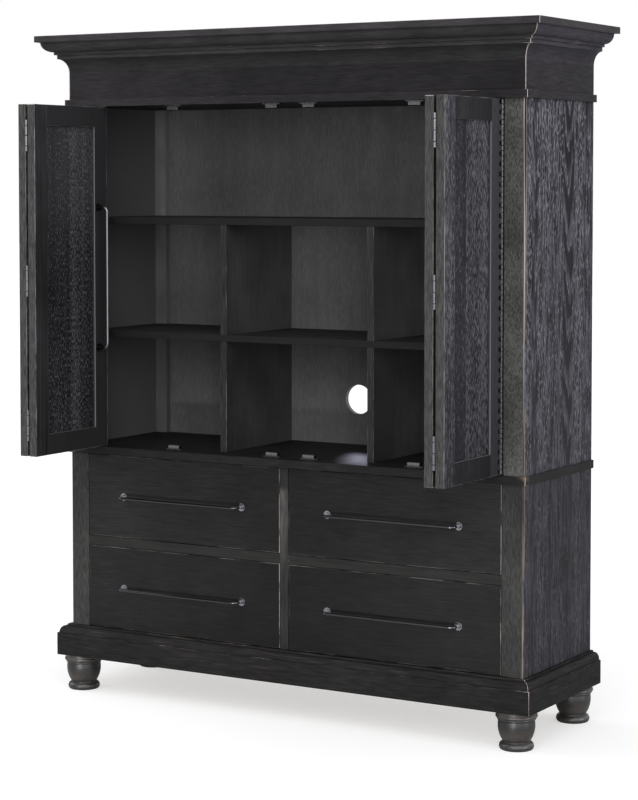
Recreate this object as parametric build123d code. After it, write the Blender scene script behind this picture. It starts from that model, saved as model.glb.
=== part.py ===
from build123d import *
import os

# Media cabinet in millimetres: X to the right, Y towards the back, Z up from the floor.
# The origin is on the floor, in the middle of the cabinet with its doors folded open.

# Case
CASE_WIDTH = 1518.0
CASE_DEPTH = 447.5
SIDE_THICKNESS = 28.0
STILE_WIDTH = 65.0
STILE_THICKNESS = 22.0
CORNER_WEAR = 4.0
BACK_THICKNESS = 15.5
EDGE_EASE = 1.2

# Feet, turned from solid wood
FOOT_HEIGHT = 105.0
FOOT_INSET_SIDE = 28.5
FOOT_INSET_FRONT = 20.0
FOOT_INSET_BACK = 56.0
FOOT_COLLAR_RADIUS = 58.0
FOOT_RING_RADIUS = 54.0
FOOT_BULB_RADIUS = 50.5
FOOT_NECK_RADIUS = 38.5
FOOT_TORUS_RADIUS = 48.0
FOOT_SOLE_RADIUS = 43.5
FOOT_COLLAR_HEIGHT = 8.0
FOOT_BEAD_HEIGHT = 9.0
FOOT_RING_HEIGHT = 6.0
FOOT_FILLET_HEIGHT = 3.0
FOOT_TORUS_HEIGHT = 20.0
FOOT_NECK_HEIGHT = 4.0
FOOT_COLLAR_SWELL = 2.25
FOOT_RING_SWELL = 2.0
FOOT_FILLET_STEP = 1.5
FOOT_BULB_TURN_RISE = 0.3
FOOT_BULB_TURN_SWELL = 0.7
FOOT_TORUS_WIDEST = 0.48
FOOT_TORUS_TOP_SWELL = 0.3
FOOT_BOLT_RADIUS = 5.0
FOOT_BOLT_IN_FOOT = 45.0
FOOT_BOLT_IN_BLOCK = 45.0
BOLT_CLEARANCE = 0.05

# Plinth round the base, from the bottom: plain face, quarter round, fillet
PLINTH_PROJECTION = 33.0
PLINTH_HEIGHT = 67.0
PLINTH_ROUND_FOOT = 28.5
PLINTH_ROUND_TOP = 15.0
PLINTH_ROUND_HEIGHT = 21.0
PLINTH_FILLET_PROJECTION = 10.0
PLINTH_FILLET_HEIGHT = 5.0
PLINTH_RAIL_THICKNESS = 22.0
DECK_THICKNESS = 26.0
CORNER_BLOCK_SIZE = 88.0

# Drawers, two over two
DRAWER_FRONT_HEIGHT = 245.0
DRAWER_FRONT_THICKNESS = 20.0
DRAWER_GAP = 2.0
DRAWER_RAIL_HEIGHT = 28.0
CENTRE_STILE_WIDTH = 27.0
PARTITION_THICKNESS = 18.0
BOX_WALL = 12.0
BOX_BOTTOM = 6.0
BOX_GROOVE_DEPTH = 6.0
BOX_GROOVE_RISE = 8.0
BOX_HEIGHT = 190.0
BOX_BACK_ROOM = 32.0
BOX_SIDE_ROOM = 10.0
BOX_RISE = 12.0
RUNNER_UNDERLAP = 18.0
RUNNER_GUIDE_HEIGHT = 14.0
RUNNER_CLEARANCE = 0.3
RUNNER_THICKNESS = BOX_RISE - RUNNER_CLEARANCE

# Waist board, between the drawers and the open upper case
WAIST_THICKNESS = 24.0
WAIST_PROJECTION = 7.0
WAIST_ROUNDING = 2.0

# Upper case
DOOR_HEIGHT = 1015.0
DOOR_GAP = 3.0
CEILING_THICKNESS = 20.0
SHELF_THICKNESS = 20.0
SHELF_SETBACK = 63.0
MIDDLE_SHELF_CLEAR = 326.0
TOP_SHELF_CLEAR = 323.0
DIVIDER_THICKNESS = 21.0
DIVIDER_SPACING = 496.0
POST_WIDTH = 40.0
POST_DEPTH = 21.0
CABLE_HOLE_RADIUS = 44.5
CABLE_HOLE_RISE = 137.0

# Cornice, from the bottom: square band, plain frieze, cove, fillet, step, ovolo, cap
FRIEZE_THICKNESS = 20.0
BAND_HEIGHT = 21.0
BAND_PROJECTION = 10.0
FRIEZE_HEIGHT = 81.0
COVE_HEIGHT = 41.0
COVE_PROJECTION = 26.0
CROWN_FILLET_HEIGHT = 12.0
CROWN_STEP_HEIGHT = 8.0
CROWN_STEP_PROJECTION = 33.0
OVOLO_SIZE = 29.0
CAP_THICKNESS = 19.0
CAP_PROJECTION = 75.5
CAP_BACK_OVERHANG = 11.0
CAP_ROUNDING = 2.0

# Folding doors, an outer and an inner leaf on each side
LEAF_THICKNESS = 25.0
INNER_LEAF_EXTRA = 18.0
HINGE_GAP = 4.2
FOLD_GAP = 3.0
MEETING_GAP = 5.2
FRAME_WIDTH = 60.0
PANEL_THICKNESS = 9.0
PANEL_GROOVE = 8.0
PANEL_CLEARANCE = 0.3

# Hinges
BARREL_RADIUS = 3.75
PIN_RADIUS = 1.75
PIN_CLEARANCE = 0.05
KNUCKLE_LENGTH = 13.8
KNUCKLE_GAP = 0.4
NOTCH_CLEARANCE = 0.5
PIANO_PLATE_THICKNESS = 1.2
PIANO_PLATE_DEPTH = 20.0
FOLD_AXIS_RISE = 4.0
FOLD_PLATE_THICKNESS = 2.0
FOLD_PLATE_WIDTH = 30.0
FOLD_HINGE_LENGTH = 89.0
FOLD_HINGE_SPACING = 417.5

# Magnetic catches and the strike plates that they hold
CATCH_LENGTH = 57.0
CATCH_BODY_LENGTH = 38.0
CATCH_HEIGHT = 13.0
CATCH_FLANGE = 3.0
CATCH_DEPTH = 15.0
CATCH_SETBACK = 30.5
CATCH_CENTRES = (62.0, 404.0)
STRIKE_LENGTH = 42.0
STRIKE_HEIGHT = 15.0
STRIKE_THICKNESS = 1.2
STRIKE_MARGIN = 3.0

# Bar pulls
PULL_SPACING = 418.0
PULL_REACH = 34.0
PULL_ROD_RADIUS = 4.0
PULL_BEND_RADIUS = 14.0
ROSETTE_RADIUS = 11.5
ROSETTE_THICKNESS = 2.5
ROSETTE_NECK_RADIUS = 5.2
ROSETTE_NECK_END = 7.0
ROSETTE_COLLAR_RADIUS = 6.6
ROSETTE_COLLAR_END = 12.5
ROSETTE_CLEARANCE = 0.05
SCREW_RADIUS = 2.0
SCREW_DEPTH = 14.0
SCREW_HEAD_RADIUS = 4.2
SCREW_HEAD_HEIGHT = 2.6
SCREW_CLEARANCE = 0.05
PULL_TO_MEETING_EDGE = 46.0

# Heights worked out from the sizes above
BASE_TOP = FOOT_HEIGHT + PLINTH_HEIGHT + PLINTH_ROUND_HEIGHT + PLINTH_FILLET_HEIGHT
DRAWER_OPENING = DRAWER_FRONT_HEIGHT + 2 * DRAWER_GAP
RAIL_BOTTOM = BASE_TOP + DRAWER_OPENING
RAIL_TOP = RAIL_BOTTOM + DRAWER_RAIL_HEIGHT
WAIST_BOTTOM = RAIL_TOP + DRAWER_OPENING
FLOOR_TOP = WAIST_BOTTOM + WAIST_THICKNESS
DOOR_BOTTOM = FLOOR_TOP + DOOR_GAP
DOOR_TOP = DOOR_BOTTOM + DOOR_HEIGHT
DOOR_MIDDLE = (DOOR_BOTTOM + DOOR_TOP) / 2
CEILING = DOOR_TOP + DOOR_GAP
MIDDLE_SHELF_BOTTOM = FLOOR_TOP + MIDDLE_SHELF_CLEAR
MIDDLE_SHELF_TOP = MIDDLE_SHELF_BOTTOM + SHELF_THICKNESS
TOP_SHELF_BOTTOM = MIDDLE_SHELF_TOP + TOP_SHELF_CLEAR
TOP_SHELF_TOP = TOP_SHELF_BOTTOM + SHELF_THICKNESS
COVE_BOTTOM = CEILING + BAND_HEIGHT + FRIEZE_HEIGHT
COVE_TOP = COVE_BOTTOM + COVE_HEIGHT
STEP_BOTTOM = COVE_TOP + CROWN_FILLET_HEIGHT
OVOLO_BOTTOM = STEP_BOTTOM + CROWN_STEP_HEIGHT
CAP_BOTTOM = OVOLO_BOTTOM + OVOLO_SIZE
TOTAL_HEIGHT = CAP_BOTTOM + CAP_THICKNESS

# Places across the case and the two hinge lines of the right-hand doors when they are shut
HALF = CASE_WIDTH / 2
SIDE_INNER = HALF - SIDE_THICKNESS
OPENING_HALF = HALF - STILE_WIDTH
PIVOT_X = OPENING_HALF - HINGE_GAP
OUTER_LEAF = (PIVOT_X - HINGE_GAP - FOLD_GAP - MEETING_GAP / 2 - INNER_LEAF_EXTRA) / 2
INNER_LEAF = OUTER_LEAF + INNER_LEAF_EXTRA
FOLD_REACH = HINGE_GAP + OUTER_LEAF + FOLD_GAP / 2
DOOR_REACH = FOLD_REACH + BARREL_RADIUS
FACE_Y = (DOOR_REACH - CASE_DEPTH - CAP_BACK_OVERHANG) / 2
BACK_Y = FACE_Y + CASE_DEPTH
BACK_FACE_Y = BACK_Y - BACK_THICKNESS
FOLD_X = PIVOT_X - FOLD_REACH
FOLD_Y = FACE_Y + LEAF_THICKNESS + FOLD_AXIS_RISE
PIVOT_AXIS = Axis((PIVOT_X, FACE_Y, 0), (0, 0, 1))
FOLD_AXIS = Axis((FOLD_X, FOLD_Y, 0), (0, 0, 1))
DRAWER_LEFT_EDGE = CENTRE_STILE_WIDTH / 2


def board(x_span, y_span, z_span):
    """Plain board between two places along each axis."""
    size = [high - low for low, high in (x_span, y_span, z_span)]
    centre = [(high + low) / 2 for low, high in (x_span, y_span, z_span)]
    return Pos(*centre) * Box(*size)


def upright(points, z_span):
    """Board of the plan outline given by points, standing between two heights."""
    outline = make_face(Polyline(*points, close=True))
    return Pos(0, 0, z_span[0]) * extrude(outline, z_span[1] - z_span[0])


def rod(x, y, z_span, radius):
    """Upright round rod."""
    return Pos(x, y, z_span[0]) * extrude(Circle(radius), z_span[1] - z_span[0])


def mirrored(piece):
    """The same piece on the other side of the cabinet."""
    return mirror(piece, about=Plane.YZ)


def both_sides(piece):
    """A right-hand piece and its left-hand twin."""
    return [piece, mirrored(piece)]


def write(name, pieces):
    """Write one node: its pieces stay separate solids."""
    solids = [solid for piece in pieces for solid in piece.solids()]
    export_step(Compound(solids), os.path.join("parts", name + ".step"))


def mitred_set(outline, inner, outer):
    """Moulding round the front and both sides of the case, mitred at the front corners.

    outline is drawn with its first coordinate outwards from the case face and its second upwards.
    inner and outer are the least and greatest distance of the outline from that face.
    """
    front_plane = Plane(origin=(0, FACE_Y, 0), x_dir=(0, -1, 0), z_dir=(-1, 0, 0))
    side_plane = Plane(origin=(HALF, 0, 0), x_dir=(1, 0, 0), z_dir=(0, -1, 0))
    inner_corner = (HALF + inner, FACE_Y - inner)
    outer_corner = (HALF + outer, FACE_Y - outer)
    reach = HALF + outer + CASE_DEPTH
    front_plan = [outer_corner, inner_corner, (-inner_corner[0], inner_corner[1]),
                  (-outer_corner[0], outer_corner[1])]
    side_plan = [outer_corner, (outer_corner[0], BACK_Y), (inner_corner[0], BACK_Y), inner_corner]
    span = (0, TOTAL_HEIGHT)
    front = extrude(front_plane * outline, reach, both=True) & upright(front_plan, span)
    side = extrude(side_plane * outline, reach, both=True) & upright(side_plan, span)
    return front, both_sides(side)


def foot(x, y):
    """Turned bun foot: collar and bead, ring, bulb, neck and torus, bored for its bolt."""
    bead_top = FOOT_HEIGHT - FOOT_COLLAR_HEIGHT
    ring_top = bead_top - FOOT_BEAD_HEIGHT
    fillet_top = ring_top - FOOT_RING_HEIGHT
    bulb_top = fillet_top - FOOT_FILLET_HEIGHT
    neck_top = FOOT_TORUS_HEIGHT + FOOT_NECK_HEIGHT
    collar_root = FOOT_COLLAR_RADIUS - FOOT_COLLAR_SWELL
    ring_root = FOOT_RING_RADIUS - FOOT_RING_SWELL
    fillet_radius = FOOT_BULB_RADIUS - FOOT_FILLET_STEP
    bulb_turn = neck_top + (bulb_top - neck_top) * FOOT_BULB_TURN_RISE
    bulb_turn_radius = FOOT_NECK_RADIUS + (FOOT_BULB_RADIUS - FOOT_NECK_RADIUS) * FOOT_BULB_TURN_SWELL
    torus_widest = FOOT_TORUS_HEIGHT * FOOT_TORUS_WIDEST
    torus_top_radius = FOOT_NECK_RADIUS + (FOOT_TORUS_RADIUS - FOOT_NECK_RADIUS) * FOOT_TORUS_TOP_SWELL
    outline = Polyline((0, 0), (FOOT_SOLE_RADIUS, 0))
    outline += ThreePointArc((FOOT_SOLE_RADIUS, 0), (FOOT_TORUS_RADIUS, torus_widest),
                             (torus_top_radius, FOOT_TORUS_HEIGHT))
    outline += Polyline((torus_top_radius, FOOT_TORUS_HEIGHT), (FOOT_NECK_RADIUS, FOOT_TORUS_HEIGHT),
                        (FOOT_NECK_RADIUS, neck_top))
    outline += ThreePointArc((FOOT_NECK_RADIUS, neck_top), (bulb_turn_radius, bulb_turn),
                             (FOOT_BULB_RADIUS, bulb_top))
    outline += Polyline((FOOT_BULB_RADIUS, bulb_top), (fillet_radius, bulb_top),
                        (fillet_radius, fillet_top), (ring_root, fillet_top))
    outline += ThreePointArc((ring_root, fillet_top), (FOOT_RING_RADIUS, (fillet_top + ring_top) / 2),
                             (ring_root, ring_top))
    outline += Line((ring_root, ring_top), (collar_root, ring_top))
    outline += ThreePointArc((collar_root, ring_top), (FOOT_COLLAR_RADIUS, (ring_top + bead_top) / 2),
                             (collar_root, bead_top))
    outline += Polyline((collar_root, bead_top), (collar_root, FOOT_HEIGHT), (0, FOOT_HEIGHT), (0, 0))
    turned = revolve(Plane.XZ * make_face(outline), Axis.Z)
    hole_span = (FOOT_HEIGHT - FOOT_BOLT_IN_FOOT, FOOT_HEIGHT)
    return Pos(x, y, 0) * (turned - rod(0, 0, hole_span, FOOT_BOLT_RADIUS + BOLT_CLEARANCE))


def base_pieces():
    """Feet with their bolts and blocks, plinth, deck and drawer carcase."""
    foot_x = HALF - FOOT_INSET_SIDE
    foot_ys = (FACE_Y + FOOT_INSET_FRONT, BACK_Y - FOOT_INSET_BACK)
    places = [(side * foot_x, y) for side in (-1, 1) for y in foot_ys]
    deck_bottom = BASE_TOP - DECK_THICKNESS
    bolt_span = (FOOT_HEIGHT - FOOT_BOLT_IN_FOOT, FOOT_HEIGHT + FOOT_BOLT_IN_BLOCK)
    hole_span = (FOOT_HEIGHT, FOOT_HEIGHT + FOOT_BOLT_IN_BLOCK)
    rail_front = BACK_Y - PLINTH_RAIL_THICKNESS
    blocks = []
    for x, y in places:
        outer = HALF if x > 0 else -HALF
        inner = outer - CORNER_BLOCK_SIZE if x > 0 else outer + CORNER_BLOCK_SIZE
        y_span = (FACE_Y, FACE_Y + CORNER_BLOCK_SIZE)
        if y == foot_ys[1]:
            y_span = (rail_front - CORNER_BLOCK_SIZE, rail_front)
        block = board(sorted((outer, inner)), y_span, (FOOT_HEIGHT, deck_bottom))
        blocks.append(block - rod(x, y, hole_span, FOOT_BOLT_RADIUS + BOLT_CLEARANCE))
    write("bun_feet", [foot(x, y) for x, y in places])
    write("foot_bolts", [rod(x, y, bolt_span, FOOT_BOLT_RADIUS) for x, y in places])
    write("corner_blocks", blocks)

    round_bottom = FOOT_HEIGHT + PLINTH_HEIGHT
    round_top = round_bottom + PLINTH_ROUND_HEIGHT
    round_depth = PLINTH_ROUND_FOOT - PLINTH_ROUND_TOP
    outline = Polyline((PLINTH_ROUND_FOOT, round_bottom), (PLINTH_PROJECTION, round_bottom),
                       (PLINTH_PROJECTION, FOOT_HEIGHT), (0, FOOT_HEIGHT), (0, BASE_TOP),
                       (PLINTH_FILLET_PROJECTION, BASE_TOP), (PLINTH_FILLET_PROJECTION, round_top),
                       (PLINTH_ROUND_TOP, round_top))
    outline += EllipticalCenterArc((PLINTH_ROUND_TOP, round_bottom), round_depth, PLINTH_ROUND_HEIGHT, 0,
                                   arc_size=90)
    front, sides = mitred_set(make_face(outline), 0, PLINTH_PROJECTION)
    write("plinth_front", [front])
    write("plinth_sides", sides)
    write("plinth_back_rail", [board((-HALF, HALF), (rail_front, BACK_Y), (FOOT_HEIGHT, deck_bottom))])
    write("base_deck", [board((-HALF, HALF), (FACE_Y, BACK_Y), (deck_bottom, BASE_TOP))])


def side_and_stile(z_span):
    """Right-hand side panel and face stile, mitred together behind a rubbed corner."""
    half_wear = CORNER_WEAR / 2
    corner = (HALF - half_wear, FACE_Y + half_wear)
    joint = (SIDE_INNER, FACE_Y + SIDE_THICKNESS)
    stile_back = FACE_Y + STILE_THICKNESS
    on_joint = (HALF - STILE_THICKNESS, stile_back)
    stile = upright([(OPENING_HALF, FACE_Y), (HALF - CORNER_WEAR, FACE_Y), corner, on_joint,
                     (OPENING_HALF, stile_back)], z_span)
    side = upright([corner, (HALF, FACE_Y + CORNER_WEAR), (HALF, BACK_Y), (SIDE_INNER, BACK_Y), joint],
                   z_span)
    return side, stile


def case_pieces():
    """Lower and upper carcase, shelves, dividers and back."""
    lower = (BASE_TOP, WAIST_BOTTOM)
    upper = (FLOOR_TOP, CEILING)
    stile_back = FACE_Y + STILE_THICKNESS
    for level, span in (("lower", lower), ("upper", upper)):
        side, stile = side_and_stile(span)
        write(level + "_side_right", [side])
        write(level + "_side_left", [mirrored(side)])
        write(level + "_stiles", both_sides(stile))
    centre = (-CENTRE_STILE_WIDTH / 2, CENTRE_STILE_WIDTH / 2)
    write("lower_centre_stile", [board(centre, (FACE_Y, stile_back), lower)])
    half_partition = PARTITION_THICKNESS / 2
    write("drawer_partition", [board((-half_partition, half_partition), (stile_back, BACK_FACE_Y), lower)])
    rail = board((DRAWER_LEFT_EDGE, OPENING_HALF), (FACE_Y, stile_back), (RAIL_BOTTOM, RAIL_TOP))
    write("drawer_rails", both_sides(rail))
    back = ((-SIDE_INNER, SIDE_INNER), (BACK_FACE_Y, BACK_Y))
    write("lower_back", [board(*back, lower)])

    waist = board((-HALF - WAIST_PROJECTION, HALF + WAIST_PROJECTION),
                  (FACE_Y - WAIST_PROJECTION, BACK_Y), (WAIST_BOTTOM, FLOOR_TOP))
    nose = waist.edges() - waist.faces().sort_by(Axis.Y)[-1].edges()
    write("waist_board", [fillet(nose, WAIST_ROUNDING)])

    hole_plane = Plane(origin=(0, BACK_Y, FLOOR_TOP + CABLE_HOLE_RISE), x_dir=(1, 0, 0), z_dir=(0, -1, 0))
    hole = extrude(hole_plane * Circle(CABLE_HOLE_RADIUS), BACK_THICKNESS)
    write("upper_back", [board(*back, upper) - hole])
    post_front = BACK_FACE_Y - POST_DEPTH
    post_inner = SIDE_INNER - POST_WIDTH
    post = board((post_inner, SIDE_INNER), (post_front, BACK_FACE_Y), upper)
    write("back_posts", both_sides(post))

    shelf_front = FACE_Y + SHELF_SETBACK
    shelf_plan = [(SIDE_INNER, shelf_front), (SIDE_INNER, post_front), (post_inner, post_front),
                  (post_inner, BACK_FACE_Y)]
    shelf_plan += [(-x, y) for x, y in reversed(shelf_plan)]
    for name, bottom in (("middle_shelf", MIDDLE_SHELF_BOTTOM), ("top_shelf", TOP_SHELF_BOTTOM)):
        shelf = upright(shelf_plan, (bottom, bottom + SHELF_THICKNESS))
        front_edges = shelf.faces().sort_by(Axis.Y)[0].edges().filter_by(Axis.X)
        write(name, [fillet(front_edges, EDGE_EASE)])
    dividers = []
    for span in ((FLOOR_TOP, MIDDLE_SHELF_BOTTOM), (MIDDLE_SHELF_TOP, TOP_SHELF_BOTTOM)):
        near = (DIVIDER_SPACING - DIVIDER_THICKNESS) / 2
        divider = board((near, near + DIVIDER_THICKNESS), (shelf_front, BACK_FACE_Y), span)
        front_edges = divider.faces().sort_by(Axis.Y)[0].edges().filter_by(Axis.Z)
        dividers += both_sides(fillet(front_edges, EDGE_EASE))
    write("cubby_dividers", dividers)


def cornice_pieces():
    """Ceiling, frieze with the band at its foot, crown moulding and cap."""
    frieze_inner = HALF - FRIEZE_THICKNESS
    write("ceiling_board", [board((-frieze_inner, frieze_inner), (FACE_Y + FRIEZE_THICKNESS, BACK_Y),
                                  (CEILING, CEILING + CEILING_THICKNESS))])
    band_top = CEILING + BAND_HEIGHT
    outline = Polyline((0, band_top), (0, CAP_BOTTOM), (-FRIEZE_THICKNESS, CAP_BOTTOM),
                       (-FRIEZE_THICKNESS, CEILING), (BAND_PROJECTION, CEILING), (BAND_PROJECTION, band_top),
                       close=True)
    front, sides = mitred_set(make_face(outline), -FRIEZE_THICKNESS, BAND_PROJECTION)
    write("frieze_front", [front])
    write("frieze_sides", sides)

    ovolo_root = CROWN_STEP_PROJECTION
    ovolo_tip = ovolo_root + OVOLO_SIZE
    outline = Polyline((COVE_PROJECTION, COVE_TOP), (COVE_PROJECTION, STEP_BOTTOM),
                       (CROWN_STEP_PROJECTION, STEP_BOTTOM), (CROWN_STEP_PROJECTION, OVOLO_BOTTOM))
    outline += CenterArc((ovolo_root, CAP_BOTTOM), OVOLO_SIZE, 270, 90)
    outline += Polyline((ovolo_tip, CAP_BOTTOM), (0, CAP_BOTTOM), (0, COVE_BOTTOM))
    outline += EllipticalCenterArc((COVE_PROJECTION, COVE_BOTTOM), COVE_PROJECTION, COVE_HEIGHT, 90,
                                   arc_size=90)
    front, sides = mitred_set(make_face(outline), 0, ovolo_tip)
    write("crown_front", [front])
    write("crown_sides", sides)
    cap = board((-HALF - CAP_PROJECTION, HALF + CAP_PROJECTION),
                (FACE_Y - CAP_PROJECTION, BACK_Y + CAP_BACK_OVERHANG), (CAP_BOTTOM, TOTAL_HEIGHT))
    nose = cap.edges() - cap.faces().sort_by(Axis.Y)[-1].edges()
    write("cap_board", [fillet(nose, CAP_ROUNDING)])


def pull_pieces():
    """Pull on a face at Y = 0, standing out towards -Y with its bar along X.

    Gives the straight bar in its place, and at the origin the bent end and the rosette of its +X end.
    """
    half = PULL_SPACING / 2
    turn = PULL_REACH - PULL_BEND_RADIUS
    path = Line((0, 0), (0, turn)) + CenterArc((-PULL_BEND_RADIUS, turn), PULL_BEND_RADIUS, 0, 90)
    flat = Plane(origin=(0, 0, 0), x_dir=(1, 0, 0), z_dir=(0, 0, -1))
    outward = Plane(origin=(0, 0, 0), z_dir=(0, -1, 0))
    bent_end = sweep(outward * Circle(PULL_ROD_RADIUS), path=flat * path)
    straight = extrude(Circle(PULL_ROD_RADIUS), half - PULL_BEND_RADIUS, both=True)
    bar = Pos(0, -PULL_REACH, 0) * Rot(0, 90, 0) * straight
    bore = PULL_ROD_RADIUS + ROSETTE_CLEARANCE
    section = make_face(Polyline((bore, 0), (ROSETTE_RADIUS, 0), (ROSETTE_RADIUS, ROSETTE_THICKNESS),
                                 (ROSETTE_NECK_RADIUS, ROSETTE_THICKNESS),
                                 (ROSETTE_NECK_RADIUS, ROSETTE_NECK_END),
                                 (ROSETTE_COLLAR_RADIUS, ROSETTE_NECK_END),
                                 (ROSETTE_COLLAR_RADIUS, ROSETTE_COLLAR_END),
                                 (bore, ROSETTE_COLLAR_END), close=True))
    rosette = outward * revolve(Plane.XZ * section, Axis.Z)
    return bar, bent_end, rosette


def pull_and_screws(front_thickness):
    """Bar pull with its screws through a front of the given thickness, bar along X."""
    bar, bent_end, rosette = pull_pieces()
    inward = Plane(origin=(0, 0, 0), z_dir=(0, 1, 0))
    start = Pos(0, 0, -SCREW_DEPTH)
    hole = inward * start * extrude(Circle(SCREW_RADIUS + SCREW_CLEARANCE), SCREW_DEPTH)
    shank = start * extrude(Circle(SCREW_RADIUS), SCREW_DEPTH + front_thickness)
    head = Pos(0, 0, front_thickness) * extrude(Circle(SCREW_HEAD_RADIUS), SCREW_HEAD_HEIGHT)
    seat = Pos(PULL_SPACING / 2, 0, 0)
    one_end = [seat * piece for piece in (bent_end - hole, rosette, inward * (shank + head))]
    return [bar] + one_end + [mirrored(piece) for piece in one_end]


def screw_holes(front_thickness):
    """What the two pull screws take out of a front whose face is at Y = 0."""
    inward = Plane(origin=(0, 0, 0), z_dir=(0, 1, 0))
    hole = inward * extrude(Circle(SCREW_RADIUS + SCREW_CLEARANCE), front_thickness)
    return Pos(-PULL_SPACING / 2, 0, 0) * hole + Pos(PULL_SPACING / 2, 0, 0) * hole


def drawer_pieces():
    """Four drawers with their runners, on the right-hand side and mirrored to the left."""
    left = DRAWER_LEFT_EDGE + DRAWER_GAP
    right = OPENING_HALF - DRAWER_GAP
    middle = (left + right) / 2
    front_back = FACE_Y + DRAWER_FRONT_THICKNESS
    box_back = BACK_FACE_Y - BOX_BACK_ROOM
    box_left = DRAWER_LEFT_EDGE + BOX_SIDE_ROOM
    box_right = OPENING_HALF - BOX_SIDE_ROOM
    stile_back = FACE_Y + STILE_THICKNESS
    runners = []
    for level, opening_bottom in (("lower", BASE_TOP), ("upper", RAIL_TOP)):
        front_bottom = opening_bottom + DRAWER_GAP
        pull_height = front_bottom + DRAWER_FRONT_HEIGHT / 2
        seat = Pos(middle, FACE_Y, pull_height)
        front = board((left, right), (FACE_Y, front_back), (front_bottom, front_bottom + DRAWER_FRONT_HEIGHT))
        face_edges = front.faces().sort_by(Axis.Y)[0].edges()
        front = fillet(face_edges, EDGE_EASE) - seat * screw_holes(DRAWER_FRONT_THICKNESS)

        box_bottom = opening_bottom + BOX_RISE
        heights = (box_bottom, box_bottom + BOX_HEIGHT)
        panel_heights = (box_bottom + BOX_GROOVE_RISE, box_bottom + BOX_GROOVE_RISE + BOX_BOTTOM)
        panel = board((box_left + BOX_WALL - BOX_GROOVE_DEPTH, box_right - BOX_WALL + BOX_GROOVE_DEPTH),
                      (front_back, box_back), panel_heights)
        walls = [board((box_left, box_left + BOX_WALL), (front_back, box_back), heights) - panel,
                 board((box_right - BOX_WALL, box_right), (front_back, box_back), heights) - panel,
                 board((box_left + BOX_WALL, box_right - BOX_WALL), (box_back - BOX_WALL, box_back),
                       (panel_heights[1], heights[1]))]
        pull = [seat * piece for piece in pull_and_screws(DRAWER_FRONT_THICKNESS)]
        for side, change in (("right", lambda piece: piece), ("left", mirrored)):
            name = "_".join((level, side, "drawer"))
            write(name + "_front", [change(front)])
            write(name + "_box", [change(piece) for piece in walls + [panel]])
            write(name + "_pull", [change(piece) for piece in pull])

        seat_top = box_bottom - RUNNER_CLEARANCE
        seat_bottom = seat_top - RUNNER_THICKNESS
        guide_top = seat_top + RUNNER_GUIDE_HEIGHT
        length = (stile_back, box_back)
        carcase_left = PARTITION_THICKNESS / 2
        near = board((carcase_left, box_left + RUNNER_UNDERLAP), length, (seat_bottom, seat_top))
        near += board((carcase_left, box_left - RUNNER_CLEARANCE), length, (seat_bottom, guide_top))
        far = board((box_right - RUNNER_UNDERLAP, SIDE_INNER), length, (seat_bottom, seat_top))
        far += board((box_right + RUNNER_CLEARANCE, SIDE_INNER), length, (seat_bottom, guide_top))
        corner = side_and_stile((seat_bottom, guide_top))[0]
        runners += both_sides(near) + both_sides(far - corner)
    write("drawer_runners", runners)


def leaf_span(start, width):
    """Stretch of the shut right-hand door from its distance to the pivot line."""
    return (PIVOT_X - start - width, PIVOT_X - start)


def leaf_frame_and_panel(start, width):
    """Framed leaf of the right-hand door, shut: two stiles, two rails and a recessed flat panel."""
    x_low, x_high = leaf_span(start, width)
    face = (FACE_Y, FACE_Y + LEAF_THICKNESS)
    heights = (DOOR_BOTTOM, DOOR_TOP)
    recess = (LEAF_THICKNESS - PANEL_THICKNESS) / 2
    tongue = (FACE_Y + recess, FACE_Y + recess + PANEL_THICKNESS)
    inner_x = (x_low + FRAME_WIDTH, x_high - FRAME_WIDTH)
    inner_z = (DOOR_BOTTOM + FRAME_WIDTH, DOOR_TOP - FRAME_WIDTH)
    groove_x = (inner_x[0] - PANEL_GROOVE, inner_x[1] + PANEL_GROOVE)
    groove_z = (inner_z[0] - PANEL_GROOVE, inner_z[1] + PANEL_GROOVE)
    stile_groove = board(groove_x, tongue, heights)
    rail_groove = board(groove_x, tongue, groove_z)
    frame = []
    for span, outer in (((x_low, inner_x[0]), 0), ((inner_x[1], x_high), -1)):
        stile = board(span, face, heights)
        corners = stile.faces().sort_by(Axis.X)[outer].edges().filter_by(Axis.Z)
        frame.append(fillet(corners, EDGE_EASE) - stile_groove)
    for span in ((DOOR_BOTTOM, inner_z[0]), (inner_z[1], DOOR_TOP)):
        rail = board(inner_x, face, span) + board(groove_x, tongue, span)
        frame.append(rail - rail_groove)
    panel = board((groove_x[0] + PANEL_CLEARANCE, groove_x[1] - PANEL_CLEARANCE), tongue,
                  (groove_z[0] + PANEL_CLEARANCE, groove_z[1] - PANEL_CLEARANCE))
    return frame, panel


def hinge_leaf(section, axis_xy, knuckles, notch):
    """Hinge leaf cut from its section over its height: other leaf's knuckles are notched out."""
    bottom = knuckles[0][0][0]
    top = knuckles[-1][0][1]
    leaf = Pos(0, 0, bottom) * extrude(section, top - bottom)
    leaf -= rod(*axis_xy, (bottom, top), PIN_RADIUS + PIN_CLEARANCE)
    gap = KNUCKLE_GAP / 2
    cuts = []
    for (low, high), own in knuckles:
        if not own:
            ends = (max(low - gap, bottom), min(high + gap, top))
            cuts.append(board(*notch, ends))
    return leaf - cuts


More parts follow.
